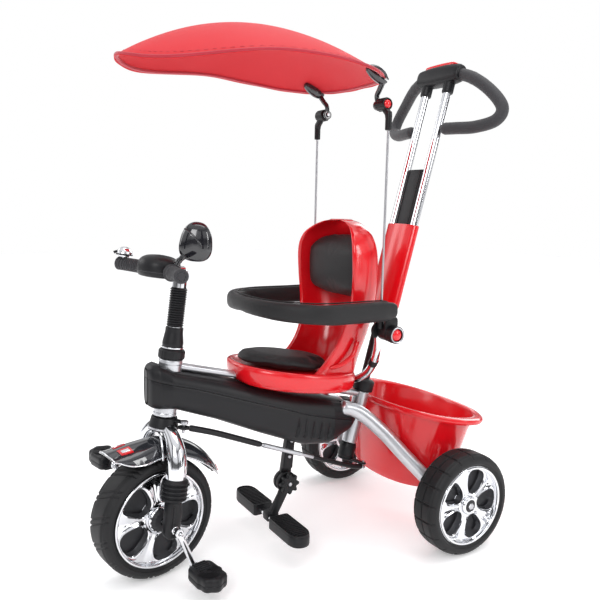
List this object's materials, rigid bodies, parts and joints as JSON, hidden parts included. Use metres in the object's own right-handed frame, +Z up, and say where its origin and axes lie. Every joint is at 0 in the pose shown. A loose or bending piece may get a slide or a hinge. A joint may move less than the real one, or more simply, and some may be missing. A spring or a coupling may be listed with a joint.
{
  "type": "children's tricycle",
  "caption": "Toddler's tricycle with a steering parent push handle, sun canopy, padded guard ring, bucket seat, folding footrest and rear tub.",
  "frame": {"origin": "centre of the bounding box, at the ground", "axes": "+Z up, the front wheel towards -Y, the rider's left towards +X"},
  "size_m": [0.548, 0.9142, 1.1113],
  "materials": {
    "chrome": "bright chrome-plated plastic and tube",
    "silver": "satin silver paint on steel tube",
    "black_plastic": "fine-textured black moulding",
    "black_gloss": "polished black moulding",
    "red_plastic": "glossy red moulding",
    "tyre": "dark grey foamed tread with fine ribs",
    "black_pad": "black coated fabric with piped seams",
    "foam": "matt black foam sleeve",
    "canopy_cloth": "red woven polyester with a black binding",
    "smoked": "smoked plastic with a bright edge"
  },
  "bodies": {
    "frame": {"main_frame": "silver", "locknut": "black_plastic", "rear_arm_left": "silver", "rear_arm_right": "silver", "rear_axle": "silver", "body_cover_upper": "black_plastic", "body_cover_lower": "black_plastic", "seat_shell": "red_plastic", "seat_cushion": "black_pad", "back_cushion": "black_pad", "basket": "red_plastic", "support_bar": "chrome", "guard_bracket_left": "black_plastic", "guard_bracket_right": "black_plastic", "canopy_rod_left": "black_plastic", "canopy_rod_right": "black_plastic", "footrest_bracket": "black_plastic"},
    "guard_button_left": {"guard_button_left": "red_plastic"},
    "guard_button_right": {"guard_button_right": "red_plastic"},
    "guard": {"guard_ring": "black_pad"},
    "canopy_button": {"canopy_button": "red_plastic"},
    "canopy": {"canopy_clip_left": "black_gloss", "canopy_clip_right": "black_gloss", "canopy": "canopy_cloth"},
    "footrest": {"footrest_leg": "black_plastic", "footrest_bars": "chrome", "footrest_pad_left": "black_plastic", "footrest_pad_right": "black_plastic"},
    "footrest_knob": {"footrest_knob": "black_plastic"},
    "rear_wheel_left": {"rear_tyre_left": "tyre", "rear_rim_left": "chrome"},
    "rear_wheel_right": {"rear_tyre_right": "tyre", "rear_rim_right": "chrome"},
    "handle_post": {"rear_steering_shaft": "black_plastic", "rear_steering_arm": "black_plastic", "handle_sleeve": "red_plastic"},
    "push_handle": {"handle_tube_left": "chrome", "handle_tube_right": "chrome", "handle_housing": "black_plastic", "handle_loop": "foam"},
    "handle_release": {"handle_release": "red_plastic"},
    "link": {"link_rod": "black_plastic"},
    "fork": {"fork_crown": "chrome", "fork_cone": "black_plastic", "fork_leg_left": "black_plastic", "fork_leg_right": "black_plastic", "fender": "smoked", "stem_collar": "black_plastic", "stem_sleeve": "black_plastic", "handlebar": "chrome", "grip_left": "foam", "grip_right": "foam", "bar_pad": "black_pad", "bell": "chrome"},
    "mirror": {"mirror": "black_plastic"},
    "front_wheel": {"front_tyre": "tyre", "front_rim": "chrome", "front_axle": "chrome"},
    "pedal_left": {"pedal_left": "black_plastic"},
    "pedal_right": {"pedal_right": "black_plastic"}
  },
  "joints": [
    {"name": "fork_turn", "type": "hinge", "parent": "frame", "child": "fork", "pos_m": [0, -0.32888, 0.12647], "axis": [0, 0.1219, 0.9925], "range_deg": [-39.84, 20.16]},
    {"name": "front_wheel_spin", "type": "hinge", "parent": "fork", "child": "front_wheel", "pos_m": [0, -0.32888, 0.12647], "axis": [0.9853, 0.1696, -0.0208], "continuous": true},
    {"name": "pedal_left_spin", "type": "hinge", "parent": "front_wheel", "child": "pedal_left", "pos_m": [0.13722, -0.2696, 0.04252], "axis": [0.9853, 0.1696, -0.0208], "continuous": true},
    {"name": "pedal_right_spin", "type": "hinge", "parent": "front_wheel", "child": "pedal_right", "pos_m": [-0.13722, -0.38816, 0.21042], "axis": [0.9853, 0.1696, -0.0208], "continuous": true},
    {"name": "mirror_swivel", "type": "hinge", "parent": "fork", "child": "mirror", "pos_m": [0.04985, -0.29582, 0.64128], "axis": [0, 0.1219, 0.9925], "range_deg": [-30, 30]},
    {"name": "rear_wheel_left_spin", "type": "hinge", "parent": "frame", "child": "rear_wheel_left", "pos_m": [0.238, 0.29812, 0.1145], "axis": [1, 0, 0], "continuous": true},
    {"name": "rear_wheel_right_spin", "type": "hinge", "parent": "frame", "child": "rear_wheel_right", "pos_m": [-0.238, 0.29812, 0.1145], "axis": [1, 0, 0], "continuous": true},
    {"name": "handle_turn", "type": "hinge", "parent": "frame", "child": "handle_post", "pos_m": [0, 0.19512, 0.335], "axis": [0, 0.2605, 0.9655], "range_deg": [-40.84, 21.16]},
    {"name": "link_turn", "type": "hinge", "parent": "handle_post", "child": "link", "pos_m": [0.034, 0.17693, 0.15243], "axis": [0, 0.2605, 0.9655], "range_deg": [-21.16, 40.84]},
    {"name": "handle_height", "type": "slide", "parent": "handle_post", "child": "push_handle", "axis": [0, 0.2605, 0.9655], "range_m": [-0.09, 0]},
    {"name": "handle_release_press", "type": "slide", "parent": "push_handle", "child": "handle_release", "axis": [0, -0.2605, -0.9655], "range_m": [0, 0.003], "stiffness_N_per_m": 1500, "springref_m": -0.001},
    {"name": "canopy_tilt", "type": "hinge", "parent": "frame", "child": "canopy", "pos_m": [0, 0.13412, 0.972], "axis": [1, 0, 0], "range_deg": [-15, 25]},
    {"name": "canopy_button_press", "type": "slide", "parent": "frame", "child": "canopy_button", "axis": [-1, 0, 0], "range_m": [0, 0.003], "stiffness_N_per_m": 800, "springref_m": -0.001},
    {"name": "guard_lift", "type": "hinge", "parent": "frame", "child": "guard", "pos_m": [0, 0.14612, 0.492], "axis": [-1, 0, 0], "range_deg": [0, 60]},
    {"name": "guard_button_left_press", "type": "slide", "parent": "frame", "child": "guard_button_left", "axis": [-1, 0, 0], "range_m": [0, 0.004], "stiffness_N_per_m": 800, "springref_m": -0.001},
    {"name": "guard_button_right_press", "type": "slide", "parent": "frame", "child": "guard_button_right", "axis": [1, 0, 0], "range_m": [0, 0.004], "stiffness_N_per_m": 800, "springref_m": -0.001},
    {"name": "footrest_fold", "type": "hinge", "parent": "frame", "child": "footrest", "pos_m": [0, -0.01788, 0.136], "axis": [1, 0, 0], "range_deg": [0, 80]},
    {"name": "footrest_knob_turn", "type": "hinge", "parent": "footrest", "child": "footrest_knob", "pos_m": [0, -0.01788, 0.136], "axis": [1, 0, 0], "range_deg": [0, 360]}
  ],
  "couplings": [
    {"joint": "handle_turn", "follows": "fork_turn", "ratio": 1},
    {"joint": "link_turn", "follows": "fork_turn", "ratio": -1}
  ]
}
